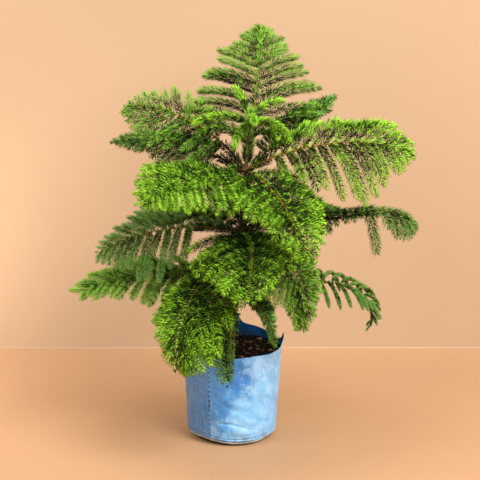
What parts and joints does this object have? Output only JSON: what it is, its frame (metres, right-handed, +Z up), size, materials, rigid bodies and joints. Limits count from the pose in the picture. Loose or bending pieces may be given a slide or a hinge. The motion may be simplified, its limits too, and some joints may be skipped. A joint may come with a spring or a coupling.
{
  "type": "young norfolk island pine in a grow bag",
  "caption": "Young conifer with whorls of flat, feathery, arching fronds on a slim leaning trunk, standing in a soil-filled blue woven grow bag.",
  "frame": {"origin": "centre of the grow bag's flat underside, on the surface it stands on", "axes": "+Z up along the tree, +X to the right seen from its front, +Y towards its back"},
  "size_m": [0.5124, 0.4289, 0.6024],
  "materials": {
    "bag_fabric": "satin",
    "potting_soil": "matte",
    "bark": "matte",
    "green_bark": "matte",
    "young_needles": "satin",
    "mature_needles": "satin",
    "shaded_needles": "satin"
  },
  "bodies": {
    "root": {"grow_bag": "bag_fabric", "soil": "potting_soil", "trunk": "bark", "upper_right_bough": "green_bark", "upper_left_bough": "green_bark", "upper_back_left_bough": "green_bark", "upper_back_bough": "green_bark", "upper_back_right_bough": "green_bark", "upper_front_right_bough": "green_bark", "upper_front_left_bough": "green_bark", "middle_left_bough": "green_bark", "middle_front_bough": "green_bark", "middle_front_right_bough": "green_bark", "middle_right_bough": "green_bark", "middle_back_right_bough": "green_bark", "middle_back_bough": "green_bark", "middle_back_left_bough": "green_bark", "lower_left_bough": "green_bark", "lower_front_left_bough": "green_bark", "lower_front_bough": "green_bark", "lower_right_bough": "green_bark", "lower_front_right_bough": "green_bark", "lower_back_right_bough": "green_bark", "lower_back_left_bough": "green_bark", "upper_right": "young_needles", "upper_left": "mature_needles", "upper_back_left": "shaded_needles", "upper_back": "mature_needles", "upper_back_right": "shaded_needles", "upper_front_right": "young_needles", "upper_front_left": "young_needles", "middle_left": "shaded_needles", "middle_front": "young_needles", "middle_front_right": "mature_needles", "middle_right": "shaded_needles", "middle_back_right": "shaded_needles", "middle_back": "shaded_needles", "middle_back_left": "shaded_needles", "lower_left": "mature_needles", "lower_front_left": "young_needles", "lower_front": "shaded_needles", "lower_right": "shaded_needles", "lower_front_right": "shaded_needles", "lower_back_right": "shaded_needles", "lower_back_left": "shaded_needles", "shoot_back_left": "young_needles", "shoot_right": "young_needles", "shoot_left": "young_needles", "shoot_front_left": "young_needles", "shoot_front_right": "young_needles", "shoot_front": "young_needles", "shoot_low_left": "young_needles", "shoot_low_right": "young_needles"}
  },
  "joints": []
}
